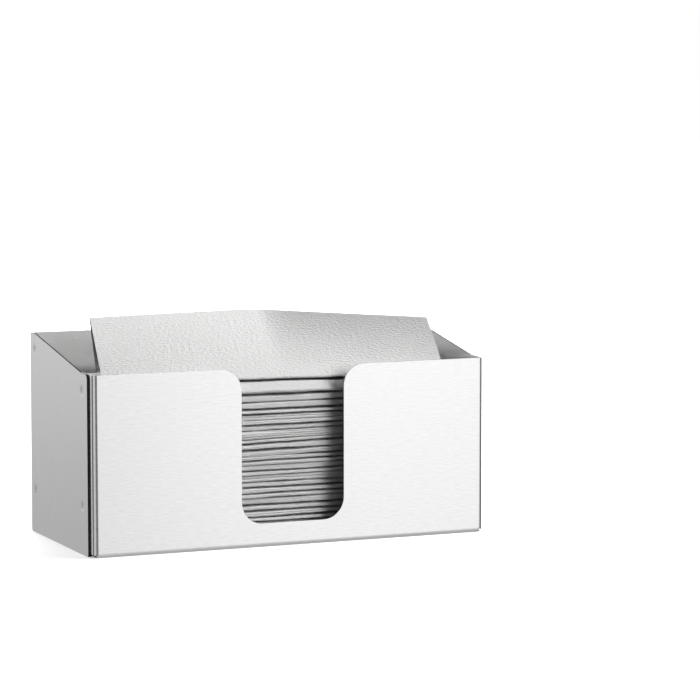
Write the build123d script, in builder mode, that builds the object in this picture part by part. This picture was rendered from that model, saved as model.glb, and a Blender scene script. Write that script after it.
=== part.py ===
"""Open-topped dispenser for folded paper towels, bent from sheet steel, filled with its stack.

Millimetres. +X runs across the front, +Y back to the wall, +Z up. The origin is the middle of
the footprint, on the surface that the base stands on.
"""

from build123d import *
import os

# Towels: each is a sheet folded like a letter, with a rear flap and a front flap
towel_width = 250.0
fold_depth = 106.0
flap_length = 87.0
paper = 0.3
towel_gap = 0.25
pack_shift = -6.7

# How thick each towel lies, from the base up
towel_heights = [4.0, 4.0, 4.0, 4.0, 3.3, 4.5, 3.8, 5.0, 2.9, 4.0, 3.5, 5.3, 2.8, 4.0]
towel_heights += [2.7, 3.5, 4.0, 5.0, 2.7, 5.8, 3.7, 3.4, 4.1, 2.8, 5.2, 5.0, 4.2]
puffed_nose = 9.2

# The towel on top, its front flap drawn up to a ridge that the rest of the flap hangs from
leaf_reach = 30.4
leaf_rise = 45.0
leaf_fold = 0.8
ridge_radius = 0.35
tip_reach = -4.0
tip_drop = 34.5
pulled_slope = 4.0

# Sheet steel and its bends
sheet = 1.2
bend_inner = 2.0
corner_relief = 2.2
weld_gap = 0.05
flange_corner = 3.0

# Room round the towels inside the housing
side_room = 16.55
front_room = 4.3
rear_room = 18.3

# Housing heights
front_height = 122.5
back_rise = 17.0

# Cut-out in the front panel
cutout_width = 74.6
cutout_sill = 16.5
cutout_corner = 15.0
cutout_shoulder = 15.0

# Flanges: the front panel's and the back panel's at the sides, and the back panel's on the base
front_flange = 30.0
back_flange = 20.0
base_flange_stop = 3.5
flange_drop = 0.8

# Side panels
side_setback = 8.4
front_flat = 21.0
back_flat = 11.0
front_top_radius = 3.6
front_foot_radius = 1.5
back_foot_radius = 2.0
back_top_radius = 1.5
slope_radius = 3.0

# Spot welds that hold the side panels to the flanges
weld_radius = 2.5
weld_depth = 0.25
front_weld_low = 33.3
front_weld_drop = 11.9
back_weld_low = 30.5
back_weld_drop = 11.0

# Screw holes for the wall
hole_diameter = 5.5
hole_span = 200.0
hole_rise = 60.0
hole_low = 40.0

# Sizes worked out from those above
wall = 2 * sheet + weld_gap
half_width = towel_width / 2 + side_room + wall
depth = sheet + front_room + fold_depth + rear_room + sheet
front = -depth / 2
back = depth / 2
back_height = front_height + back_rise
flange_face = half_width - sheet - weld_gap
bend_middle = bend_inner + sheet / 2
bend_outer = bend_inner + sheet
base_top = sheet + weld_gap

os.makedirs("parts", exist_ok=True)


def save(piece, name):
    """Label a finished piece and write it under its name."""
    piece.label = name
    export_step(piece, f"parts/{name}.step")


def is_sheet_edge(edge):
    """Tell whether an edge runs through the sheet, from one face to the other."""
    return edge.length < 1.5 * sheet


def bent_pan(height, side_flange, foot_flange):
    """Bend one sheet into a face with a flange at each side and one at its foot.

    The face stands on Y = 0, the flanges run from it to +Y and the foot flange lies on Z = 0.
    """
    bend_x = flange_face - bend_outer
    with BuildPart() as pan:
        with BuildSketch(Plane.XZ):
            with Locations((0, bend_outer)):
                Rectangle(2 * bend_x, height - bend_outer, align=(Align.CENTER, Align.MIN))
        extrude(amount=-sheet)
        with BuildSketch(Plane.XY.offset(corner_relief)):
            with BuildLine():
                CenterArc((bend_x, bend_outer), bend_middle, -90, 90)
                Line((flange_face - sheet / 2, bend_outer), (flange_face - sheet / 2, side_flange))
            trace(line_width=sheet)
        extrude(amount=height - corner_relief)
        flange_ends = pan.edges().filter_by(Axis.X).group_by(Axis.Y)[-1]
        fillet(flange_ends.group_by(Axis.Z)[0], radius=flange_corner)
        mirror(about=Plane.YZ)
        with BuildSketch(Plane.YZ):
            with BuildLine():
                CenterArc((bend_outer, bend_outer), bend_middle, 180, 90)
                Line((bend_outer, sheet / 2), (foot_flange, sheet / 2))
            trace(line_width=sheet)
        extrude(amount=flange_face - corner_relief, both=True)
    return pan.part


# Front panel: one sheet with the front, two side flanges and the base, which widens to the sides
base_front = bend_outer + corner_relief / 2
base_back = depth - sheet
with BuildPart() as front_panel:
    with Locations((0, front, 0)):
        add(bent_pan(front_height, front_flange, base_back))
    flange_ends = front_panel.edges().filter_by(Axis.X).filter_by(is_sheet_edge)
    fillet(flange_ends.group_by(Axis.Z)[-1], radius=flange_corner)
    with BuildSketch(Plane.XY):
        with Locations((0, front + base_front)):
            Rectangle(2 * flange_face, base_back - base_front, align=(Align.CENTER, Align.MIN))
    extrude(amount=sheet)
    with BuildSketch(Plane.XZ.offset(-front)):
        with Locations((0, cutout_sill)):
            window = Rectangle(
                cutout_width,
                front_height - cutout_sill,
                align=(Align.CENTER, Align.MIN),
            )
        fillet(window.vertices().group_by(Axis.Y)[0], radius=cutout_corner)
    extrude(amount=-sheet, mode=Mode.SUBTRACT)
    top_edges = front_panel.edges().filter_by(Axis.Y).group_by(Axis.Z)[-1]
    shoulders = top_edges.sort_by(lambda edge: abs(edge.center().X))[:2]
    fillet(shoulders, radius=cutout_shoulder)
save(front_panel.part, "front_panel")

# Back panel: one sheet with the back, two side flanges and a flange that lies on the base
flange_front = back - back_flange
base_flange = sheet + rear_room - base_flange_stop
slope = back_rise / (depth - back_flat - front_flat)
flange_front_top = front_height + slope * (flange_front - front - front_flat) - flange_drop
with BuildPart() as back_panel:
    with Locations(Location((0, back, base_top), (0, 0, 180))):
        add(bent_pan(back_height - base_top, back_flange, base_flange))
    with BuildSketch(Plane.YZ):
        with BuildLine():
            Polyline(
                (flange_front, flange_front_top),
                (back - back_flat, back_height - flange_drop),
                (back - bend_outer, back_height - flange_drop),
                (back - bend_outer, back_height),
                (flange_front, back_height),
                close=True,
            )
        make_face()
    extrude(amount=half_width, both=True, mode=Mode.SUBTRACT)
    with BuildSketch(Plane.XZ.offset(-back)):
        with Locations((0, hole_low + hole_rise / 2)):
            with GridLocations(hole_span, hole_rise, 2, 2):
                Circle(hole_diameter / 2)
    extrude(amount=sheet, mode=Mode.SUBTRACT)
save(back_panel.part, "back_panel")

# Side panels: flat sheets outside the flanges, dimpled where they are spot-welded
weld_sphere = (weld_radius**2 + weld_depth**2) / (2 * weld_depth)
weld_x = -half_width - weld_sphere + weld_depth
front_weld = front + (side_setback + front_flange) / 2
back_weld = back - back_flange / 2
with BuildPart() as left_side_panel:
    with BuildSketch(Plane.YZ.offset(-half_width)):
        with BuildLine():
            FilletPolyline(
                (front + side_setback, 0),
                (back, 0),
                (back, back_height),
                (back - back_flat, back_height),
                (front + front_flat, front_height),
                (front + side_setback, front_height),
                radius=(
                    front_foot_radius,
                    back_foot_radius,
                    back_top_radius,
                    slope_radius,
                    slope_radius,
                    front_top_radius,
                ),
                close=True,
            )
        make_face()
    extrude(amount=sheet)
    with Locations(
        (weld_x, front_weld, front_weld_low),
        (weld_x, front_weld, front_height - front_weld_drop),
        (weld_x, back_weld, back_weld_low),
        (weld_x, back_weld, back_height - back_weld_drop),
    ):
        Sphere(weld_sphere, mode=Mode.SUBTRACT)
save(left_side_panel.part, "left_side_panel")

with BuildPart() as right_side_panel:
    mirror(left_side_panel.part, about=Plane.YZ)
save(right_side_panel.part, "right_side_panel")

# Folded towels, one on another from the base up, the last one with its front fold puffed up
pack_left = pack_shift - towel_width / 2
pack_front = front + sheet + front_room
pack_back = pack_front + fold_depth
fold_fit = 0.48
lean = pulled_slope / fold_depth
floor = base_top
for number, height in enumerate(towel_heights, start=1):
    on_top = number == len(towel_heights)
    nose = puffed_nose if on_top else height
    fall = lean * flap_length if on_top else 0.0
    lowest = floor + paper / 2
    middle = lowest + (height - towel_gap - paper) / 2
    highest = floor + nose - towel_gap - paper / 2
    rear_radius = fold_fit * (middle - lowest)
    nose_radius = fold_fit * (highest - lowest)
    with BuildPart() as towel:
        with BuildSketch(Plane.YZ.offset(pack_left)):
            with BuildLine():
                FilletPolyline(
                    (pack_back - flap_length, middle),
                    (pack_back, middle),
                    (pack_back, lowest),
                    (pack_front, lowest),
                    (pack_front, highest),
                    (pack_front + flap_length, highest - fall),
                    radius=(rear_radius, rear_radius, nose_radius, nose_radius),
                )
            trace(line_width=paper)
        extrude(amount=towel_width)
    save(towel.part, f"towel_{number:02d}")
    floor += nose if on_top else height

# The towel being drawn: its main panel leans back on the stack, its front flap is lifted
panel_front = floor + paper
panel_back = panel_front - pulled_slope
flap_lift = 1.4
back_fold = fold_fit * flap_lift
ridge = (pack_front + leaf_reach, panel_front + leaf_rise)
with BuildPart() as pulled_towel:
    with BuildSketch(Plane.YZ.offset(pack_left)):
        with BuildLine():
            FilletPolyline(
                (pack_back - flap_length, panel_back + lean * flap_length + flap_lift),
                (pack_back, panel_back + flap_lift),
                (pack_back, panel_back),
                (pack_front, panel_front),
                ridge,
                (ridge[0] + tip_reach, ridge[1] - tip_drop),
                radius=(back_fold, back_fold, leaf_fold, ridge_radius),
            )
        trace(line_width=paper)
    extrude(amount=towel_width)
save(pulled_towel.part, "pulled_towel")
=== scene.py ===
"""Dresses the folded-towel dispenser: brushed steel, crepe paper, studio and camera."""

import logging
import math
from collections.abc import Callable
from dataclasses import dataclass
from enum import Enum
from itertools import accumulate

import bmesh
import bpy
from bmesh.types import BMEdge, BMesh, BMFace, BMVert
from bpy.types import Material, NodeSocket, Object
from mathutils import Matrix, Vector, noise


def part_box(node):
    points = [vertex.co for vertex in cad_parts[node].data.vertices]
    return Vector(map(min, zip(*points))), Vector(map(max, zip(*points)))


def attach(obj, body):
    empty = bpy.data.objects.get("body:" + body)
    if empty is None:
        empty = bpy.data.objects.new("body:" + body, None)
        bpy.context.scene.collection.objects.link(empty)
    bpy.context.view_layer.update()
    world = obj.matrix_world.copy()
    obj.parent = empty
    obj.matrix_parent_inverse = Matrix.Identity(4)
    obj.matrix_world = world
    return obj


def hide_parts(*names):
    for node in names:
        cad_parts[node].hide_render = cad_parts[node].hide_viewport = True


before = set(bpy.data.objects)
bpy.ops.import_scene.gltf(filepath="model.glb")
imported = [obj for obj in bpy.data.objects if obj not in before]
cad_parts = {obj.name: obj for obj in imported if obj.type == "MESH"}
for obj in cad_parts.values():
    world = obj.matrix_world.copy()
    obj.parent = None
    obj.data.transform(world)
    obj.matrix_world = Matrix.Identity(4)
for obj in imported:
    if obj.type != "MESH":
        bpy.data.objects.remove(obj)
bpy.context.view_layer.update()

LOG = logging.getLogger("dispenser")
MM = 0.001
SAME_PLACE = 0.01 * MM
ON_PLANE = 0.001 * MM
SLIGHT = 0.01
QUARTER_TURN = math.pi / 2
RING_CUTS = 5
CORNER_STEPS = 6
# Side panels' extra slots: the spot welds, and the cut edges painted nearly black (painted shade of
# the gap at the front flange, on the cut's own dull finish).
SPOT_WELD, SHADED_CUT_EDGE = 1, 2
UV_NAME = "flat_sheet"
WHITE = (1.0, 1.0, 1.0, 1.0)
Pair = tuple[float, float]
Place = tuple[float, float, float]
Colour = tuple[float, float, float, float]
Stops = tuple[Pair, ...]


class Hold(Enum):
    """How a sheet of paper is kept in shape."""

    FOLDED = "folded"


class Slot(Enum):
    """The object's two material slots: steel and paper."""

    STEEL = "steel"
    PAPER = "paper"


class NodeGraph:
    """A small helper that adds and links shader nodes."""

    def __init__(self, tree: bpy.types.NodeTree) -> None:
        """Start from an empty tree, a material's or the world's."""
        self.tree = tree
        tree.nodes.clear()

    def fill(self, socket: NodeSocket, value: object) -> None:
        """Link an input to an output, or give it a value."""
        if isinstance(value, NodeSocket):
            self.tree.links.new(value, socket)
        else:
            socket.default_value = value

    def add(self, kind: str, *inputs: object, **values: object) -> bpy.types.Node:
        """Add one node.

        Args:
            kind: The node's type name.
            *inputs: What goes into its first inputs, in order: an output or a value.
            **values: Node attributes, or what goes into the input of that name in lower case.

        Returns:
            The new node.
        """
        node = self.tree.nodes.new(kind)
        sockets = {}
        for socket in node.inputs:
            sockets.setdefault(socket.name.lower().replace(" ", "_"), socket)
        for name, value in values.items():
            if name in sockets:
                self.fill(sockets[name], value)
            else:
                setattr(node, name, value)
        for socket, value in zip(node.inputs, inputs):
            self.fill(socket, value)
        return node

    def math(self, operation: str, *values: object) -> NodeSocket:
        """Add a math node on outputs or numbers, and give its result."""
        return self.add("ShaderNodeMath", *values, operation=operation).outputs[0]

    def map(self, value: NodeSocket, to: Pair, start: Pair = (0.0, 1.0)) -> NodeSocket:
        """Map a value from its own range onto another."""
        ends = {"from_min": start[0], "from_max": start[1], "to_min": to[0], "to_max": to[1]}
        return self.add("ShaderNodeMapRange", value=value, **ends).outputs["Result"]

    def grain(self, stretch: Place, **look: float) -> NodeSocket:
        """Add noise, about 0 to 1, on the flat sheet's own map, scaled along each axis."""
        flat = self.add("ShaderNodeUVMap", uv_map=UV_NAME).outputs["UV"]
        drawn_out = self.add("ShaderNodeMapping", vector=flat, scale=stretch).outputs["Vector"]
        return self.add("ShaderNodeTexNoise", vector=drawn_out, **look).outputs["Fac"]


def new_material(name: str) -> tuple[Material, NodeGraph]:
    """Make a material, and the empty graph of its nodes."""
    material = bpy.data.materials.new(name)
    material.use_nodes = True
    return material, NodeGraph(material.node_tree)


@dataclass(frozen=True)
class BrushedSteel:
    """Stainless sheet, brushed along its length before it was bent."""

    name: str = "brushed_steel"
    tone: float = 0.80
    roughness: float = 0.24
    anisotropy: float = 0.8
    across_map: float = 0.25
    line_pitch: float = 0.7 * MM
    line_length: float = 6 * MM
    line_share: float = 0.85
    band_pitch: float = 2.25 * MM
    band_stretch: float = 3.0
    tone_spread: float = 0.17
    roughness_spread: float = 0.05
    line_depth: float = 0.004 * MM

    def material(self) -> Material:
        """Make the finish, whose brush lines follow the flat sheet's own map."""
        material, graph = new_material(self.name)
        lines, bands = [
            graph.grain((1 / length, 1 / pitch, 1), scale=1.0, detail=3.0, roughness=0.6)
            for length, pitch in (
                (self.line_length, self.line_pitch),
                (self.band_stretch * self.line_length, self.band_pitch),
            )
        ]
        both = graph.math(
            "ADD",
            graph.math("MULTIPLY", lines, self.line_share),
            graph.math("MULTIPLY", bands, 1 - self.line_share),
        )
        least, most = 1 - self.tone_spread, 1 + self.tone_spread
        shade = graph.map(both, (self.tone * least, self.tone * most))
        least, most = self.roughness - self.roughness_spread, self.roughness + self.roughness_spread
        rough = graph.map(lines, (least, most))
        bump = graph.add("ShaderNodeBump", strength=0.5, distance=self.line_depth, height=lines)
        tangent = graph.add("ShaderNodeTangent", direction_type="UV_MAP", uv_map=UV_NAME)
        steel = graph.add(
            "ShaderNodeBsdfPrincipled",
            base_color=graph.add("ShaderNodeCombineColor", shade, shade, shade).outputs["Color"],
            metallic=1.0,
            roughness=rough,
            anisotropic=self.anisotropy,
            anisotropic_rotation=self.across_map,
            normal=bump.outputs["Normal"],
            tangent=tangent.outputs["Tangent"],
        )
        graph.add("ShaderNodeOutputMaterial", surface=steel.outputs["BSDF"])
        return material


@dataclass(frozen=True)
class CrepePaper:
    """Soft white towel paper with a fine crepe."""

    name: str = "crepe_paper"
    colour: Colour = (0.84, 0.84, 0.835, 1.0)
    roughness: float = 0.95
    gloss: float = 0.2
    crepe_stretch: Place = (0.65, 1.5, 1.0)
    pebble_noise: tuple[float, ...] = (1.7 * MM, 0.55, 0.15)
    pebble_depth: float = 0.6 * MM
    fibre_noise: tuple[float, ...] = (0.6 * MM, 0.6, 0.0)
    fibre_share: float = 0.25
    # How much darker the crepe's hollows are painted: painted shade.
    tone_spread: float = 0.06

    def material(self) -> Material:
        """Make the finish, whose crepe follows the flat towel's own map, with painted shade in the
        crepe's hollows.
        """
        material, graph = new_material(self.name)
        pebbles, fibres = [
            graph.grain(
                self.crepe_stretch, scale=1 / size, detail=2.0, roughness=rough, distortion=twist
            )
            for size, rough, twist in (self.pebble_noise, self.fibre_noise)
        ]
        height = graph.math("ADD", pebbles, graph.math("MULTIPLY", fibres, self.fibre_share))
        bump = graph.add("ShaderNodeBump", strength=1.0, distance=self.pebble_depth, height=height)
        # The colour is painted darker where the crepe's pebbles are low: painted shade in the
        # hollows.
        hollow_shaded = graph.add("ShaderNodeMix", 1.0, data_type="RGBA", blend_type="MULTIPLY")
        first, second = [socket for socket in hollow_shaded.inputs if socket.type == "RGBA"]
        graph.fill(first, self.colour)
        graph.fill(second, graph.map(pebbles, (1 - self.tone_spread, 1.0)))
        paper = graph.add(
            "ShaderNodeBsdfPrincipled",
            base_color=next(socket for socket in hollow_shaded.outputs if socket.type == "RGBA"),
            roughness=self.roughness,
            specular_ior_level=self.gloss,
            normal=bump.outputs["Normal"],
        )
        graph.add("ShaderNodeOutputMaterial", surface=paper.outputs["BSDF"])
        return material


def add_object(name: str, data: bpy.types.ID) -> Object:
    """Put a new object with its data into the scene."""
    item = bpy.data.objects.new(name, data)
    bpy.context.scene.collection.objects.link(item)
    return item


def new_piece(name: str, bm: BMesh, material: Material) -> Object:
    """Turn a finished bmesh, which is freed, into a smooth object with one material."""
    mesh = bpy.data.meshes.new(name)
    bm.to_mesh(mesh)
    bm.free()
    mesh.materials.append(material)
    for polygon in mesh.polygons:
        polygon.use_smooth = True
    return add_object(name, mesh)


def near(first: float, second: float) -> bool:
    """Tell whether two lengths are the same place."""
    return abs(first - second) < SAME_PLACE


def edges_where(bm: BMesh, test: Callable[[Vector], bool]) -> list[BMEdge]:
    """Find the edges whose ends both stand at places that pass a test."""
    return [edge for edge in bm.edges if all(test(vert.co) for vert in edge.verts)]


def run_on(bm: BMesh, edges: list[BMEdge], way: Vector) -> tuple[list[BMVert], list[BMEdge]]:
    """Run the sheet straight on from some edges.

    Args:
        bm: The mesh under work.
        edges: The edges that it runs on from.
        way: How far, and which way.

    Returns:
        The far vertices, and the far edges.
    """
    drawn = bmesh.ops.extrude_edge_only(bm, edges=edges)["geom"]
    verts = [item for item in drawn if isinstance(item, BMVert)]
    bmesh.ops.translate(bm, verts=verts, vec=way)
    far = [item for item in drawn if isinstance(item, BMEdge)]
    return verts, [edge for edge in far if all(vert in verts for vert in edge.verts)]


def lay_map(bm: BMesh, flat_place: Callable[[BMFace, BMVert], Pair]) -> None:
    """Give each corner of each face its place on the flat sheet."""
    layer = bm.loops.layers.uv.new(UV_NAME)
    for face in bm.faces:
        for loop in face.loops:
            loop[layer].uv = flat_place(face, loop.vert)


def round_corner(bm: BMesh, corner: BMVert, radius: float, steps: int) -> None:
    """Round one corner of an open face.

    Args:
        bm: The mesh under work.
        corner: The corner's vertex, which has one edge on each side.
        radius: The radius to round it to.
        steps: How many segments the arc has.
    """
    sides = [edge for edge in corner.link_edges if edge.is_boundary]
    arms = [edge.other_vert(corner).co - corner.co for edge in sides]
    turn = math.pi - arms[0].angle(arms[1])
    bmesh.ops.bevel(
        bm,
        geom=[corner],
        offset=radius * math.tan(turn / 2),
        offset_type="OFFSET",
        affect="VERTICES",
        segments=steps,
        profile=0.5,
        material=-1,
    )


def face_under(bm: BMesh, point: Vector) -> BMFace:
    """Find the flat face that a point lies on."""
    bm.normal_update()
    level = [face for face in bm.faces if near((face.verts[0].co - point).dot(face.normal), 0.0)]
    return next(face for face in level if bmesh.geometry.intersect_face_point(face, point))


def ring_in_face(
    bm: BMesh, centre: Vector, across: Vector, radius: float, margin: float
) -> list[BMEdge]:
    """Cut a square cell out of a flat face and join a ring to it.

    Args:
        bm: The mesh under work.
        centre: The ring's centre, on the face.
        across: The face's normal.
        radius: The ring's radius.
        margin: Half the cell's width.

    Returns:
        The ring's edges.
    """
    upright = Vector((0.0, 0.0, 1.0))
    aside = across.cross(upright)
    for way in (upright, -upright, aside, -aside):
        cell = face_under(bm, centre)
        bmesh.ops.bisect_plane(
            bm,
            geom=[cell, *cell.edges, *cell.verts],
            dist=ON_PLANE,
            plane_co=centre + way * margin,
            plane_no=way,
        )
    cell = face_under(bm, centre)
    bmesh.ops.subdivide_edges(bm, edges=list(cell.edges), cuts=RING_CUTS)
    cell = face_under(bm, centre)
    border = list(cell.edges)
    bmesh.ops.delete(bm, geom=[cell], context="FACES_ONLY")
    verts, ring = run_on(bm, border, Vector())
    for vert in verts:
        vert.co = centre + (vert.co - centre).normalized() * radius
    return ring


@dataclass
class SteelSheet:
    """What the four sheets share: their thickness and their cut edges."""

    node: str
    wall: float = 1.2 * MM
    burr: float = 0.14 * MM
    sharp: float = math.radians(50)
    all_flat: bool = False

    def dress(self, bm: BMesh, finishes: list[Material]) -> Object:
        """Make the piece that stands for the sheet's solid.

        Args:
            bm: The sheet's mesh, which is freed. A flat sheet's has its thickness already.
            finishes: The steel, and then any other finishes that the sheet has.

        Returns:
            The finished piece.
        """
        piece = new_piece(f"{self.node}_sheet", bm, finishes[0])
        for finish in finishes[1:]:
            piece.data.materials.append(finish)
        if not self.all_flat:
            wall = piece.modifiers.new("sheet_thickness", "SOLIDIFY")
            wall.thickness = self.wall
            wall.offset = -1.0
            wall.use_even_offset = True
            wall.use_quality_normals = True
        edges = piece.modifiers.new("cut_edges", "BEVEL")
        edges.width = self.burr
        edges.segments = 2
        edges.limit_method = "ANGLE"
        edges.angle_limit = self.sharp
        edges.use_clamp_overlap = True
        edges.harden_normals = self.all_flat
        if not self.all_flat:
            normals = piece.modifiers.new("flat_faces", "WEIGHTED_NORMAL")
            normals.keep_sharp = True
        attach(piece, "root")
        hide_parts(self.node)
        return piece


@dataclass
class BentPan(SteelSheet):
    """A sheet bent into a face with a flange at each side and one at its foot.

    It is drawn with its face on Y = 0 and its flanges towards +Y, and then put in its place.
    """

    bend: float = 3.2 * MM
    bend_steps: int = 14
    relief: float = 1.0 * MM
    relief_rate: float = 1.6
    side_flange: float = 30 * MM
    foot_flange: float = 129.8 * MM
    foot_widens: bool = True
    flange_corner: float = 3 * MM

    def __post_init__(self) -> None:
        """Take the pan's outer size from its solid."""
        self.low, self.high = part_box(self.node)
        self.bend_x = self.high.x - self.bend
        self.height = self.high.z - self.low.z
        self.past_bend = self.bend + 0.1 * MM

    def outline(self) -> list[Pair]:
        """List the face's corners between the bends, across and up, against the clock."""
        return [
            (-self.bend_x, self.bend),
            (self.bend_x, self.bend),
            (self.bend_x, self.height),
            (-self.bend_x, self.height),
        ]

    def build(self, finishes: list[Material]) -> Object:
        """Bend the sheet, put it in its place and give it its one finish."""
        bm = bmesh.new()
        bm.faces.new([bm.verts.new((x, 0.0, z)) for x, z in self.outline()])
        self.shape_face(bm)
        self.bend_sides(bm)
        self.bend_foot(bm)
        self.open_corners(bm)
        self.trim_flanges(bm)
        bmesh.ops.recalc_face_normals(bm, faces=bm.faces)
        beside = Vector((self.bend_x, 0.0, self.height / 2))
        front = min(bm.faces, key=lambda face: (face.calc_center_median() - beside).length)
        if front.normal.y > 0:
            bmesh.ops.reverse_faces(bm, faces=bm.faces)
        lay_map(bm, self.flat_place)
        self.place(bm)
        return self.dress(bm, finishes)

    def shape_face(self, bm: BMesh) -> None:
        """Work on the face before it is bent: none on a plain pan."""

    def bend_on(
        self, bm: BMesh, edges: list[BMEdge], centre: Vector, axis: Vector
    ) -> list[BMEdge]:
        """Bend the sheet on from some edges by a right angle.

        Args:
            bm: The mesh under work.
            edges: The edges that the bend starts from.
            centre: A point of the bend's axis.
            axis: The axis.

        Returns:
            The edges where the bend ends.
        """
        spun = bmesh.ops.spin(
            bm,
            geom=edges + list(dict.fromkeys(vert for edge in edges for vert in edge.verts)),
            cent=centre,
            axis=axis,
            angle=QUARTER_TURN,
            steps=self.bend_steps,
            use_merge=False,
        )
        return [item for item in spun["geom_last"] if isinstance(item, BMEdge)]

    def bend_sides(self, bm: BMesh) -> None:
        """Bend both side flanges back."""
        for side in (-1.0, 1.0):
            x = side * self.bend_x
            edges = edges_where(bm, lambda place: near(place.x, x))
            centre = Vector((x, self.bend, 0.0))
            last = self.bend_on(bm, edges, centre, Vector((0.0, 0.0, side)))
            run_on(bm, last, Vector((0.0, self.side_flange - self.bend, 0.0)))

    def foot_runs(self) -> tuple[float, ...]:
        """List how far back each straight run of the foot flange reaches: one, to its end."""
        return (self.foot_flange,)

    def bend_foot(self, bm: BMesh) -> None:
        """Bend the foot flange back."""
        edges = edges_where(bm, lambda place: near(place.z, self.bend) and near(place.y, 0.0))
        centre = Vector((0.0, self.bend, self.bend))
        last = self.bend_on(bm, edges, centre, Vector((1.0, 0.0, 0.0)))
        reached = self.bend
        for end in self.foot_runs():
            _, last = run_on(bm, last, Vector((0.0, end - reached, 0.0)))
            reached = end

    def open_corners(self, bm: BMesh) -> None:
        """Let the bends' free ends reach into the corner, which leaves a small relief notch."""
        for vert in bm.verts:
            x, y, z = vert.co
            aside, down = (abs(x) - self.bend_x) / self.bend, (self.bend - z) / self.bend
            widens = self.foot_widens or y < self.past_bend
            if aside > SLIGHT and near(z, self.bend):
                vert.co.z -= self.relief * min(1.0, self.relief_rate * aside)
            elif down > SLIGHT and near(abs(x), self.bend_x) and widens:
                reach = self.relief * min(1.0, self.relief_rate * down)
                vert.co.x += math.copysign(reach, x)

    def trim_flanges(self, bm: BMesh) -> None:
        """Round the side flanges' free corners."""
        ends = [vert for vert in bm.verts if near(vert.co.y, self.side_flange)]
        for corner in [vert for vert in ends if near(abs(vert.co.x), self.high.x)]:
            round_corner(bm, corner, self.flange_corner, CORNER_STEPS)

    def run_past(self, off: float, y: float) -> float:
        """Measure round the bend and along the flange to a place off the face's edge."""
        if y < self.bend:
            return self.bend * math.atan2(off, self.bend - y)
        return self.bend * QUARTER_TURN + y - self.bend

    def flat_place(self, face: BMFace, vert: BMVert) -> Pair:
        """Tell where a face's corner lay on the flat sheet, before it was bent."""
        x, y, z = vert.co
        if abs(face.normal.x) > SLIGHT:
            across = self.bend_x + self.run_past(abs(x) - self.bend_x, y)
            return math.copysign(across, x), z
        if face.normal.z < -SLIGHT:
            return x, self.bend - self.run_past(self.bend - z, y)
        return x, z

    def place(self, bm: BMesh) -> None:
        """Move the pan to where its solid stands."""
        bmesh.ops.translate(bm, verts=bm.verts, vec=(0.0, self.low.y, self.low.z))


@dataclass
class FrontPanel(BentPan):
    """The front with its rounded cut-out, its side flanges, and the base as its foot flange."""

    foot_widens: bool = False
    cutout_width: float = 74.6 * MM
    cutout_sill: float = 16.5 * MM
    cutout_radius: float = 15 * MM
    cutout_steps: int = 20
    base_start: float = 4.3 * MM

    def outline(self) -> list[Pair]:
        """List the face's corners between the bends, with the cut-out's."""
        half = self.cutout_width / 2
        right = [(half, self.height), (half, self.cutout_sill)]
        left = [(-x, z) for x, z in reversed(right)]
        *before, last = super().outline()
        return [*before, *right, *left, last]

    def shape_face(self, bm: BMesh) -> None:
        """Round the cut-out's four corners."""
        corners = [vert for vert in bm.verts if near(abs(vert.co.x), self.cutout_width / 2)]
        for corner in corners:
            round_corner(bm, corner, self.cutout_radius, self.cutout_steps)

    def foot_runs(self) -> tuple[float, ...]:
        """Stop where the base starts to widen, and then go on to its end."""
        return (self.base_start, self.foot_flange)

    def trim_flanges(self, bm: BMesh) -> None:
        """Round the flanges' corners, and run the base out to them."""
        super().trim_flanges(bm)
        for side in (-1.0, 1.0):
            edges = edges_where(
                bm,
                lambda place: near(place.x, side * self.bend_x)
                and near(place.z, 0.0)
                and place.y > self.past_bend,
            )
            run_on(bm, edges, Vector((side * self.bend, 0.0, 0.0)))


@dataclass
class BackPanel(BentPan):
    """The taller sheet behind, with four screw holes for the wall."""

    side_flange: float = 20 * MM
    foot_flange: float = 16 * MM
    hole_radius: float = 2.75 * MM
    hole_span: float = 200 * MM
    hole_heights: Pair = (40 * MM, 100 * MM)
    flange_drop: float = 0.8 * MM
    top_run: float = 11 * MM
    slope: float = 17 / 99

    def shape_face(self, bm: BMesh) -> None:
        """Punch the screw holes."""
        forward = Vector((0.0, -1.0, 0.0))
        for side in (-0.5, 0.5):
            for height in self.hole_heights:
                centre = Vector((side * self.hole_span, 0.0, height - self.low.z))
                ring_in_face(bm, centre, forward, self.hole_radius, 2 * self.hole_radius)

    def trim_flanges(self, bm: BMesh) -> None:
        """Cut the flanges' tops along the side panels' slope, and round their lower corners."""
        top = self.height - self.flange_drop
        for way in (Vector((0.0, 0.0, 1.0)), Vector((0.0, self.slope, 1.0)).normalized()):
            parts = {}
            for face in bm.faces:
                middle = face.calc_center_median()
                if middle.y > self.past_bend and near(abs(middle.x), self.high.x):
                    parts |= dict.fromkeys((face, *face.edges, *face.verts))
            bmesh.ops.bisect_plane(
                bm,
                geom=list(parts),
                dist=ON_PLANE,
                plane_co=Vector((0.0, self.top_run, top)),
                plane_no=way,
                clear_outer=True,
            )
        super().trim_flanges(bm)

    def place(self, bm: BMesh) -> None:
        """Turn the pan round and move it to where its solid stands."""
        turn = Matrix.Rotation(math.pi, 3, "Z")
        bmesh.ops.rotate(bm, verts=bm.verts, cent=(0, 0, 0), matrix=turn)
        bmesh.ops.translate(bm, verts=bm.verts, vec=(0.0, self.high.y, self.low.z))


class Side(Enum):
    """The side of the housing that a panel closes."""

    LEFT = -1.0
    RIGHT = 1.0


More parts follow.
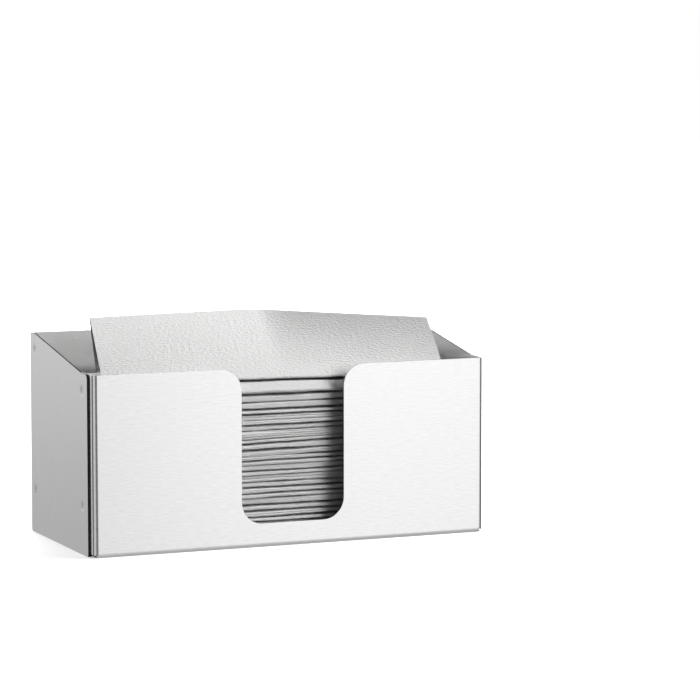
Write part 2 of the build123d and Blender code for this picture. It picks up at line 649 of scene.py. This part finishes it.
@dataclass
class SidePanel(SteelSheet):
    """A flat sheet outside the flanges, spot-welded to them in four places."""

    all_flat: bool = True
    side: Side = Side.LEFT
    front_height: float = 122.5 * MM
    front_flat: float = 12.6 * MM
    back_flat: float = 11 * MM
    foot_radii: Pair = (1.5 * MM, 2.0 * MM)
    back_top_radius: float = 1.5 * MM
    slope_radius: float = 3.0 * MM
    front_top_radius: float = 3.6 * MM
    front_weld: float = 10.8 * MM
    back_weld: float = 10 * MM
    weld_heights: tuple[float, ...] = (33.3 * MM, 110.6 * MM, 30.5 * MM, 128.5 * MM)
    weld_radius: float = 2.5 * MM
    weld_depth: float = 0.12 * MM
    weld_margin: float = 4.5 * MM
    weld_rings: Stops = ((0.9, 0.35), (0.74, 0.35), (0.62, 0.3))

    def build(self, finishes: list[Material]) -> Object:
        """Cut the sheet out and press its welds.

        Args:
            finishes: The steel, a spot weld's dull steel, and the cut edges' steel, painted nearly
                black as painted shade of the gap beside the front flange, on top of the cut's own
                dull finish.

        Returns:
            The finished piece.
        """
        low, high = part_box(self.node)
        x = self.side.value * max(abs(low.x), abs(high.x))
        corners = (
            (low.y, 0.0, self.foot_radii[0]),
            (high.y, 0.0, self.foot_radii[1]),
            (high.y, high.z, self.back_top_radius),
            (high.y - self.back_flat, high.z, self.slope_radius),
            (low.y + self.front_flat, self.front_height, self.slope_radius),
            (low.y, self.front_height, self.front_top_radius),
        )
        bm = bmesh.new()
        verts = [bm.verts.new((x, y, z)) for y, z, _ in corners]
        bm.faces.new(verts)
        for vert, (_, _, radius) in zip(verts, corners):
            round_corner(bm, vert, radius, CORNER_STEPS)
        drawn = bmesh.ops.extrude_face_region(bm, geom=list(bm.faces))["geom"]
        inner = [item for item in drawn if isinstance(item, BMVert)]
        bmesh.ops.translate(bm, verts=inner, vec=(-self.side.value * self.wall, 0.0, 0.0))
        bmesh.ops.recalc_face_normals(bm, faces=bm.faces)
        # Every rim face takes the cut-edge steel, painted nearly black: painted shade of the gap at
        # the front flange, on the cut's own dull finish.
        for face in bm.faces:
            if abs(face.normal.x) < 0.5:
                face.material_index = SHADED_CUT_EDGE
        front, back = low.y + self.front_weld, high.y - self.back_weld
        for y, z in zip((front, front, back, back), self.weld_heights):
            self.press_weld(bm, Vector((x, y, z)))
        bmesh.ops.recalc_face_normals(bm, faces=bm.faces)
        lay_map(bm, lambda face, vert: (vert.co.z, vert.co.y))
        return self.dress(bm, finishes)

    def press_weld(self, bm: BMesh, centre: Vector) -> None:
        """Press the shallow round mark of one spot weld.

        Args:
            bm: The mesh under work.
            centre: The mark's centre, on the outer face.
        """
        outwards = Vector((self.side.value, 0.0, 0.0))
        ring = ring_in_face(bm, centre, outwards, self.weld_radius, self.weld_margin)
        around = Matrix.Translation(-centre)
        for share, sink in self.weld_rings:
            verts, ring = run_on(bm, ring, -outwards * sink * self.weld_depth)
            bmesh.ops.scale(bm, verts=verts, vec=(1.0, share, share), space=around)
        bmesh.ops.contextual_create(bm, geom=ring)
        for face in bm.faces:
            middle = face.calc_center_median() - centre
            if middle.length < self.weld_radius and abs(middle.x) < 2 * self.weld_depth:
                face.material_index = SPOT_WELD


@dataclass(frozen=True)
class Crease:
    """An end or a corner of a folded line, and how many steps the straight run to it takes."""

    y: float
    z: float
    radius: float = 0.0
    steps: int = 0


def folded_line(creases: list[Crease], turns: int) -> list[Pair]:
    """Walk a line with rounded corners.

    Args:
        creases: The line's ends and corners, in order.
        turns: How many steps each corner takes.

    Returns:
        The points along the line, from end to end.
    """
    corners = [Vector((crease.y, crease.z)) for crease in creases]
    points = [corners[0]]
    for index, crease in enumerate(creases[1:], start=1):
        start, end = points[-1], corners[index]
        ahead = (end - corners[index - 1]).normalized()
        last = crease is creases[-1]
        if not last:
            turn = ahead.angle_signed((corners[index + 1] - end).normalized())
            end = end - ahead * crease.radius * math.tan(abs(turn) / 2)
        points += [start.lerp(end, step / crease.steps) for step in range(1, crease.steps + 1)]
        if not last:
            inward = Vector((-ahead.y, ahead.x)) * (-1 if turn > 0 else 1)
            centre = end + inward * crease.radius
            for step in range(1, turns + 1):
                swing = Matrix.Rotation(-turn * step / turns, 2)
                points.append(centre + swing @ (end - centre))
    return [(point.x, point.y) for point in points]


def swell(*place: float) -> float:
    """Read smooth noise, about -1 to 1. Constants in a call keep its noise apart from others."""
    return noise.noise(Vector(place))


def clamp(value: float, least: float = 0.0) -> float:
    """Hold a share between its least value and 1."""
    return min(1.0, max(least, value))


@dataclass
class TowelSheet:
    """A paper towel: a flat sheet of 250 by 280 mm, folded like a letter."""

    width: float = 250 * MM
    length: float = 280 * MM
    flap: float = 87 * MM
    paper: float = 0.3 * MM

    def folded(self, name: str, profile: list[list[Vector]], finish: Material) -> Object:
        """Lay a grid of the flat towel onto a folded shape.

        Args:
            name: The piece's name.
            profile: For each column line, the points along the fold, from the rear flap's end.
            finish: The paper's material.

        Returns:
            The towel, with its thickness.
        """
        columns, rows = len(profile) - 1, len(profile[0]) - 1
        bm = bmesh.new()
        bmesh.ops.create_grid(bm, x_segments=columns, y_segments=rows, size=0.5)
        places = {
            vert: (round((vert.co.x + 0.5) * columns), round((vert.co.y + 0.5) * rows))
            for vert in bm.verts
        }
        line = profile[columns // 2]
        lengths = [(after - before).length for before, after in zip(line, line[1:])]
        along = list(accumulate(lengths, initial=0.0))
        wide = self.width / columns
        lay_map(bm, lambda face, vert: (wide * places[vert][0], along[places[vert][1]]))
        for vert, (column, row) in places.items():
            vert.co = profile[column][row]
        for edge in bm.edges:
            edge.smooth = not edge.is_boundary
        piece = new_piece(name, bm, finish)
        wall = piece.modifiers.new("thickness", "SOLIDIFY")
        wall.thickness = self.paper
        wall.offset = 0.0
        return piece

    def hand_over(self, towel: Object, body: str, node: str, below: str) -> None:
        """Hang a towel on the body that it rides on, and hide its solid."""
        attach(towel, body)
        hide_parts(node)


@dataclass
class TowelStack:
    """The folded towels under the top one, as they have settled on each other."""

    sheet: TowelSheet
    columns: int = 64
    turn_steps: int = 5
    tilt: float = 0.017
    tilt_height: float = 69 * MM
    tilt_spread: float = 13 * MM
    top_tilt: float = -0.016
    top_spread: float = 6 * MM
    sag: float = 1.0 * MM
    sag_reach: float = 8 * MM
    ground_reach: float = 12 * MM
    wave: float = 0.42 * MM
    wave_size: Place = (55 * MM, 90 * MM, 7 * MM)
    ripple_size: Place = (20 * MM, 50 * MM, 6 * MM)
    shift: float = 0.6 * MM
    recess: float = 4.16 * MM
    recess_wave: float = 0.35 * MM
    recess_wave_length: float = 60 * MM
    top_recess: float = -1.9 * MM
    top_slant: float = 4.8 * MM
    top_drop: float = 0.8 * MM
    top_rear: float = 3.65 * MM
    top_settled: float = 0.88
    foot_recess: float = 3.0 * MM
    rear_share: float = 0.46
    nose_share: float = 0.20
    row_height: float = 0.45 * MM
    pleated_row_height: float = 0.22 * MM
    gap: Pair = (0.10 * MM, 1.2 * MM)
    gap_share: float = 0.45
    gap_bias: float = 0.45
    gap_lengths: Pair = (70 * MM, 20 * MM)
    gap_reach: float = 28 * MM
    bold_seams: tuple[int, ...] = (4, 5, 6, 9, 10, 13, 15, 18, 21, 24)
    faint_seams: tuple[int, ...] = (8, 12, 14, 19, 22)
    layer_reach: float = 2 * MM
    layer_height: float = 0.9 * MM
    layer_lengths: Pair = (90 * MM, 20 * MM)
    layer_depth: float = 0.36 * MM
    ply_pitch: float = 1.6 * MM
    ply_depth: float = 2.4 * MM
    ply_drift: float = 4.0
    ply_drift_length: float = 70 * MM
    ply_fade: tuple[float, ...] = (0.15, 0.7, 1.5)
    ply_fade_size: Pair = (40 * MM, 2 * MM)
    pleated: tuple[int, ...] = (7, 11, 16, 17, 20)
    deep_set: Stops = ((21, 2.2 * MM), (17, 1.5 * MM), (9, 1.6 * MM), (5, 2.6 * MM), (4, 8.0 * MM))
    creased: tuple[int, ...] = (6, 12, 23)
    crease_depth: float = 0.9 * MM
    crease_share: float = 0.24
    waist_share: float = 0.9

    def __post_init__(self) -> None:
        """Find the stack's solids, from the base up, and the room that they fill."""
        self.names = sorted(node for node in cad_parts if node.startswith("towel_"))
        self.low, self.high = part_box(self.names[0])
        self.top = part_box(self.names[-1])[1].z

    def settle(self, x: float, y: float, z: float) -> float:
        """Tell how far a point of the stack has sunk or risen.

        Args:
            x: Place across the stack.
            y: Place from front to back.
            z: Height in the evenly laid stack.

        Returns:
            The change of height, in metres.
        """
        forward = (self.high.y - y) / (self.high.y - self.low.y)
        middle = x - (self.low.x + self.high.x) / 2
        lean = self.tilt * math.exp(-(((z - self.tilt_height) / self.tilt_spread) ** 2))
        lean += self.top_tilt * math.exp(-(((z - self.top) / self.top_spread) ** 2))
        wide, deep, tall = self.wave_size
        wave = swell(x / wide, y / deep, z / tall)
        wide, deep, tall = self.ripple_size
        wave += 0.5 * swell(x / wide, y / deep + 7.0, z / tall)
        sunk = self.sag * (1 - math.exp(-(((z - self.top) / self.sag_reach) ** 2)))
        grounded = min(1.0, (z - self.low.z) / self.ground_reach)
        return forward * grounded * (lean * middle + self.wave * wave - sunk)

    def profile(self, number: int, low: Vector, high: Vector) -> list[Pair]:
        """Draw one towel's fold as it would lie in an even stack.

        Args:
            number: The towel's number from the base up.
            low: Its solid's lowest corner.
            high: Its solid's highest corner.

        Returns:
            The points along the fold.
        """
        half = self.sheet.paper / 2
        front, back = low.y + half, high.y - half
        bottom, top = low.z + half, high.z - half
        on_top = number == len(self.names)
        if on_top:
            top -= self.top_drop
        tall = top - bottom
        lies = self.top_rear if on_top else tall
        middle = bottom + lies / 2
        rear = self.rear_share * (middle - bottom)
        creases = [
            Crease(back - self.sheet.flap, middle),
            Crease(back, middle, rear, 10),
            Crease(back, bottom, rear, 2),
        ]
        if number in self.creased:
            waist, small = (bottom + top) / 2, self.crease_share * tall
            off = self.waist_share * small
            creases += [
                Crease(front, bottom, small, 14),
                Crease(front, waist - off, 0.35 * small, 2),
                Crease(front + self.crease_depth, waist, 0.3 * small, 1),
                Crease(front, waist + off, 0.35 * small, 1),
                Crease(front, top, small, 2),
            ]
        else:
            nose = self.nose_share * tall
            slant = self.top_slant if on_top else 0.0
            row = self.pleated_row_height if number in self.pleated else self.row_height
            creases += [
                Crease(front, bottom, nose, 14),
                Crease(front + slant, top, nose, round(tall / row)),
            ]
        far = top - (tall - lies) * self.top_settled
        creases.append(Crease(front + self.sheet.flap, far, steps=12))
        return folded_line(creases, self.turn_steps)

    def seam_gap(self, x: float, seam: int) -> float:
        """Tell how far a fold stands off its neighbour, which leaves a dark seam.

        Args:
            x: Place across the stack.
            seam: The number of the towel under the seam.

        Returns:
            Half the gap, in metres.
        """
        long, short = self.gap_lengths
        ease = 0.5 + swell(x / long, seam * 3.3, 4.5) + 0.35 * swell(x / short, seam * 3.3, 8.5)
        if seam in self.bold_seams:
            ease += self.gap_bias
        elif seam in self.faint_seams:
            ease -= self.gap_bias
        least, most = self.gap
        return least + (most - least) * clamp(ease)

    def layers(self, x: float, inwards: float, z: float, number: int) -> float:
        """Tell how far the plies of a front fold stand back, as long shallow creases.

        Args:
            x: Place across the stack.
            inwards: Distance behind the front fold.
            z: Height in the stack.
            number: The towel's number from the base up.

        Returns:
            How far the point moves inwards, in metres.
        """
        if inwards > self.layer_reach:
            return 0.0
        long, short = self.layer_lengths
        rough = swell(x / long, z / self.layer_height, number * 1.7)
        rough += 0.5 * swell(x / short, z / self.layer_height, number * 4.1)
        back = self.layer_depth * max(0.0, rough)
        if number in self.pleated:
            drift = self.ply_drift * swell(x / self.ply_drift_length, number * 2.3, 3.5)
            least, usual, spread = self.ply_fade
            wide, tall = self.ply_fade_size
            fade = clamp(usual + spread * swell(x / wide, z / tall, number * 5.1), least)
            ply = max(0.0, math.sin(2 * math.pi * z / self.ply_pitch + drift)) ** 2
            back += self.ply_depth * fade * ply
        return back * (1 - inwards / self.layer_reach)

    def set_back(self, number: int) -> float:
        """Tell how far a towel lies behind its solid's front."""
        if number == len(self.names):
            return self.top_recess
        drawn = self.recess * abs(swell(number * 5.3, 2.5, 0.5))
        drawn += self.foot_recess * (1 - number / len(self.names))
        return dict(self.deep_set).get(number, drawn)

    def build(self, finish: Material) -> list[Object]:
        """Fold every towel of the stack, from the base up, in the paper's material."""
        towels = []
        for number, node in enumerate(self.names, start=1):
            low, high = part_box(node)
            line = self.profile(number, low, high)
            shift = self.shift * swell(number * 3.7, 0.5, 0.5)
            middle, half = (low.z + high.z) / 2, (high.z - low.z) / 2
            profile = []
            for column in range(self.columns + 1):
                x = low.x + (high.x - low.x) * column / self.columns
                wave = swell(x / self.recess_wave_length, number * 2.9, 1.5)
                back_off = max(self.top_recess, self.set_back(number) + self.recess_wave * wave)
                under, over = self.seam_gap(x, number - 1), self.seam_gap(x, number)
                points = []
                for y, z in line:
                    toward = max(0.0, 1 - (y - low.y) / self.gap_reach)
                    inside = y + toward * back_off + self.layers(x, y - low.y, z, number)
                    gap = min(over if z > middle else under, self.gap_share * half)
                    nipped = z - gap * toward * (z - middle) / half
                    points.append(Vector((x + shift, inside, nipped + self.settle(x, y, z))))
                profile.append(points)
            towel = self.sheet.folded(f"{node}_paper", profile, finish)
            below = "front_panel_sheet" if number == 1 else towels[-1].name
            self.sheet.hand_over(towel, "towel_pack", node, below)
            towels.append(towel)
        return towels


@dataclass
class DrawnTowel:
    """The top towel, its front flap drawn up to a ridge from which the rest hangs."""

    sheet: TowelSheet
    stack: TowelStack
    node: str = "pulled_towel"
    columns: int = 120
    turn_steps: int = 6
    shift: float = -1.9 * MM
    pinch_x: float = -4.0 * MM
    pinch_y: float = -17.0 * MM
    pinch_softness: float = 0.01
    right_bow: float = 0.4
    end_y: Pair = (-33.0 * MM, -50.0 * MM)
    ridge_left: float = 157.8 * MM
    ridge_right: float = 151.0 * MM
    fall_from: float = 0.48
    ridge_radius: float = 0.3 * MM
    left_lean: float = -0.4 * MM
    right_lean: float = -10.9 * MM
    tip_forward: float = 0.34
    lift: float = 0.9 * MM
    front_radius: float = 0.9 * MM
    rear_radius: float = 0.6 * MM
    rear_height: float = 1.4 * MM
    rear_flap_rise: float = 4.7 * MM
    slack: float = 1.6 * MM
    slack_bias: float = 0.6
    slack_size: Place = (45 * MM, 30 * MM, 30 * MM)

    def ridge_height(self, share: float) -> float:
        """Give the ridge's height: level on the left, then falling to the right end."""
        fallen = max(0.0, share - self.fall_from) / (1 - self.fall_from)
        return self.ridge_left + (self.ridge_right - self.ridge_left) * fallen

    def ridge_place(self, x: float, low_x: float, high_x: float) -> float:
        """Place the ridge from front to back: furthest back at the pinch.

        Args:
            x: Place across the towel.
            low_x: The towel's left end.
            high_x: The towel's right end.

        Returns:
            The ridge's place.
        """
        on_right = x >= self.pinch_x
        share = (x - self.pinch_x) / ((high_x if on_right else low_x) - self.pinch_x)
        start = math.sqrt(self.pinch_softness)
        soft = math.sqrt(share * share + self.pinch_softness) - start
        soft /= math.sqrt(1 + self.pinch_softness) - start
        if on_right:
            soft *= 1 + self.right_bow * (1 - soft)
        return self.pinch_y + (self.end_y[on_right] - self.pinch_y) * soft

    def build(self, finish: Material) -> Object:
        """Fold the towel, in the paper's material."""
        low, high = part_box(self.node)
        half = self.sheet.paper / 2
        front, back = low.y + half, high.y - half
        rest_back = low.z + half
        profile = []
        for column in range(self.columns + 1):
            share = column / self.columns
            x = low.x + (high.x - low.x) * share
            ridge_y, ridge_z = self.ridge_place(x, low.x, high.x), self.ridge_height(share)
            rest_front = self.stack.top + self.stack.settle(x, front, self.stack.top) + self.lift
            reach, rise = ridge_y - front, ridge_z - rest_front
            hang = self.sheet.flap - math.hypot(reach, rise)
            forward = self.tip_forward * max(0.0, 1 - 2 * share)
            spread = math.atan2(reach, rise) - math.atan(forward)
            ridge_z += self.ridge_radius * (1 / math.sin(spread / 2) - 1)
            creases = [
                Crease(back - self.sheet.flap, rest_back + self.rear_flap_rise),
                Crease(back, rest_back + self.rear_height, self.rear_radius, 12),
                Crease(back, rest_back, self.rear_radius, 2),
                Crease(front, rest_front, self.front_radius, 16),
                Crease(ridge_y, ridge_z, self.ridge_radius, 40),
                Crease(ridge_y - forward * hang, ridge_z - hang, steps=20),
            ]
            lean = self.left_lean + (self.right_lean - self.left_lean) * max(0.0, 2 * share - 1)
            wide, deep, tall = self.slack_size
            points = []
            for y, z in folded_line(creases, self.turn_steps):
                up = clamp((z - rest_front) / (ridge_z - rest_front))
                soft = swell(x / wide, y / deep, z / tall) - self.slack_bias
                bow = self.slack * up * (1 - up) * soft
                points.append(Vector((x + self.shift + lean * up, y + bow, z)))
            profile.append(points)
        towel = self.sheet.folded(f"{self.node}_paper", profile, finish)
        below = f"{self.stack.names[-1]}_paper"
        self.sheet.hand_over(towel, self.node, self.node, below)
        return towel


@dataclass(frozen=True)
class Softbox:
    """One soft lamp: its place and size in metres, and its power in watts."""

    name: str
    place: Place
    size: Pair
    power: float

    def hang(self, aim: Place) -> None:
        """Hang the lamp so that it looks at a point, unseen by the camera and in the steel."""
        data = bpy.data.lights.new(self.name, "AREA")
        data.shape = "RECTANGLE"
        data.size, data.size_y = self.size
        data.energy = self.power
        lamp = add_object(self.name, data)
        lamp.location = self.place
        way = Vector(aim) - Vector(self.place)
        lamp.rotation_euler = way.to_track_quat("-Z", "Y").to_euler()
        lamp.visible_glossy = False
        lamp.visible_camera = False


@dataclass
class Studio:
    """White floor and background, soft lamps, and the camera at the photograph's angle."""

    camera_place: Place = (-0.8152, -2.0578, 0.3593)
    camera_yaw: float = math.radians(23.278)
    camera_pitch: float = math.radians(5.984)
    lens: float = 164.62
    sensor: float = 36.0
    aim: Place = (0.0, 0.0, 0.09)
    softboxes: tuple[Softbox, ...] = (
        Softbox("side_softbox", (1.52, -0.68, 1.0), (0.9, 0.8), 38.0),
        Softbox("low_softbox", (1.47, -1.14, 0.47), (0.9, 0.6), 15.5),
        Softbox("top_softbox", (0.95, 0.38, 1.69), (0.5, 0.5), 4.5),
        Softbox("rear_softbox", (0.19, 1.80, 0.66), (0.5, 0.5), 28.0),
    )
    ambient: float = 0.08
    floor_size: float = 6.0
    floor_colour: Colour = (0.9, 0.9, 0.9, 1.0)
    floor_whitens: Pair = (0.22, 0.7)
    floor_least: float = 0.7
    # Grey levels that the steel mirrors: round the studio in degrees, and by the sine of height
    panorama: Stops = (
        (0, 0.84), (28, 0.84), (46, 0.16), (88, 0.14), (98, 0.95),
        (138, 0.80), (148, 0.16), (187, 0.16), (196, 1.05), (202.5, 1.58),
        (213, 1.28), (221, 1.28), (231, 0.20), (318, 0.20), (336, 0.84),
    )
    heights: Stops = (
        (-1.0, 0.40), (-0.6, 0.45), (-0.30, 0.46), (-0.17, 0.70), (-0.08, 1.04), (1.0, 1.06),
    )
    floor_glow: Stops = ((-1.0, 0.50), (-0.34, 0.42), (-0.19, 0.0), (1.0, 0.0))

    def build(self) -> None:
        """Set up the world, the floor, the lamps and the camera."""
        self.world()
        self.floor()
        for softbox in self.softboxes:
            softbox.hang(self.aim)
        self.camera()

    def world(self) -> None:
        """White to the camera, dim on the object, and the studio's walls and floor in the steel."""
        world = bpy.data.worlds.new("studio")
        bpy.context.scene.world = world
        world.use_nodes = True
        graph = NodeGraph(world.node_tree)
        way = graph.add("ShaderNodeTexCoord").outputs["Generated"]
        parts = graph.add("ShaderNodeSeparateXYZ", way)
        leftward = graph.math("MULTIPLY", parts.outputs["X"], -1.0)
        angle = graph.math("ARCTAN2", leftward, parts.outputs["Y"])
        turn = graph.math("FRACT", graph.math("DIVIDE", angle, 2 * math.pi))
        walls = self.levels(graph, turn, self.panorama, 0.0, 360.0)
        height = graph.math("MULTIPLY", graph.math("ADD", parts.outputs["Z"], 1.0), 0.5)
        falls = self.levels(graph, height, self.heights, -1.0, 1.0)
        glow = self.levels(graph, height, self.floor_glow, -1.0, 1.0)
        mirrored = graph.math("MAXIMUM", graph.math("MULTIPLY", walls, falls), glow)
        shaders = [
            graph.add("ShaderNodeBackground", color=WHITE, strength=strength).outputs[0]
            for strength in (self.ambient, mirrored, 1.0)
        ]
        ray = graph.add("ShaderNodeLightPath").outputs
        lit = graph.add("ShaderNodeMixShader", ray["Is Glossy Ray"], *shaders[:2]).outputs[0]
        seen = graph.add("ShaderNodeMixShader", ray["Is Camera Ray"], lit, shaders[2])
        graph.add("ShaderNodeOutputWorld", surface=seen.outputs[0])

    def levels(
        self, graph: NodeGraph, place: NodeSocket, stops: Stops, start: float, end: float
    ) -> NodeSocket:
        """Add a run of grey levels.

        Args:
            graph: The world's graph.
            place: Where along the run, from 0 to 1.
            stops: The places and their levels.
            start: The stops' place for the run's start.
            end: Their place for its end.

        Returns:
            The level.
        """
        ramp = graph.add("ShaderNodeValToRGB", fac=place)
        ramp.color_ramp.interpolation = "EASE"
        elements = ramp.color_ramp.elements
        while len(elements) < len(stops):
            elements.new(1.0)
        for element, (position, level) in zip(elements, stops):
            element.position = (position - start) / (end - start)
            element.color = (level, level, level, 1.0)
        return ramp.outputs["Color"]

    def floor(self) -> None:
        """Lay a white floor that keeps the object's soft shadow."""
        material, graph = new_material("white_floor")
        matte = graph.add("ShaderNodeBsdfDiffuse", color=self.floor_colour)
        place = graph.add("ShaderNodeTexCoord").outputs["Object"]
        away = graph.add("ShaderNodeVectorMath", place, operation="LENGTH").outputs["Value"]
        level = graph.map(away, (self.floor_least, 1.0), self.floor_whitens)
        camera_ray = graph.add("ShaderNodeLightPath").outputs["Is Camera Ray"]
        seen = graph.math("MULTIPLY", camera_ray, level)
        glow = graph.add("ShaderNodeEmission", color=WHITE, strength=seen)
        both = graph.add("ShaderNodeAddShader", matte.outputs[0], glow.outputs[0])
        graph.add("ShaderNodeOutputMaterial", surface=both.outputs[0])
        bm = bmesh.new()
        bmesh.ops.create_grid(bm, x_segments=1, y_segments=1, size=self.floor_size)
        ground = new_piece("floor", bm, material)
        ground.visible_glossy = False
        ground.visible_diffuse = False

    def camera(self) -> None:
        """Put the camera where the photograph was taken from."""
        data = bpy.data.cameras.new("camera")
        data.lens = self.lens
        data.sensor_width = self.sensor
        camera = add_object("camera", data)
        camera.location = self.camera_place
        camera.rotation_euler = (QUARTER_TURN - self.camera_pitch, 0.0, -self.camera_yaw)
        bpy.context.scene.camera = camera
        bpy.context.scene.view_settings.view_transform = "Standard"


def main() -> None:
    """Build the object's looks and the studio round it."""
    logging.basicConfig(level=logging.INFO, format="%(message)s")
    pan_steel = [BrushedSteel().material()]
    side_finishes = (
        BrushedSteel("side_steel", line_pitch=1.8 * MM, line_length=12 * MM, tone_spread=0.19),
        BrushedSteel("spot_weld", tone=0.72, roughness=0.30, tone_spread=0.12),
        # The cut edges' steel, painted nearly black: painted shade of the gap at the front flange,
        # on the cut's own dull finish.
        BrushedSteel("cut_edge", tone=0.05, roughness=0.5, tone_spread=0.2),
    )
    side_steel = [finish.material() for finish in side_finishes]
    paper = CrepePaper().material()
    pieces = [
        FrontPanel("front_panel").build(pan_steel),
        BackPanel("back_panel").build(pan_steel),
        SidePanel("left_side_panel", side=Side.LEFT).build(side_steel),
        SidePanel("right_side_panel", side=Side.RIGHT).build(side_steel),
    ]
    towel = TowelSheet()
    stack = TowelStack(towel)
    pieces += stack.build(paper)
    pieces.append(DrawnTowel(towel, stack).build(paper))
    for piece in pieces:
        LOG.info("%s: %d faces", piece.name, len(piece.data.polygons))
    Studio().build()


if __name__ == "__main__":
    main()
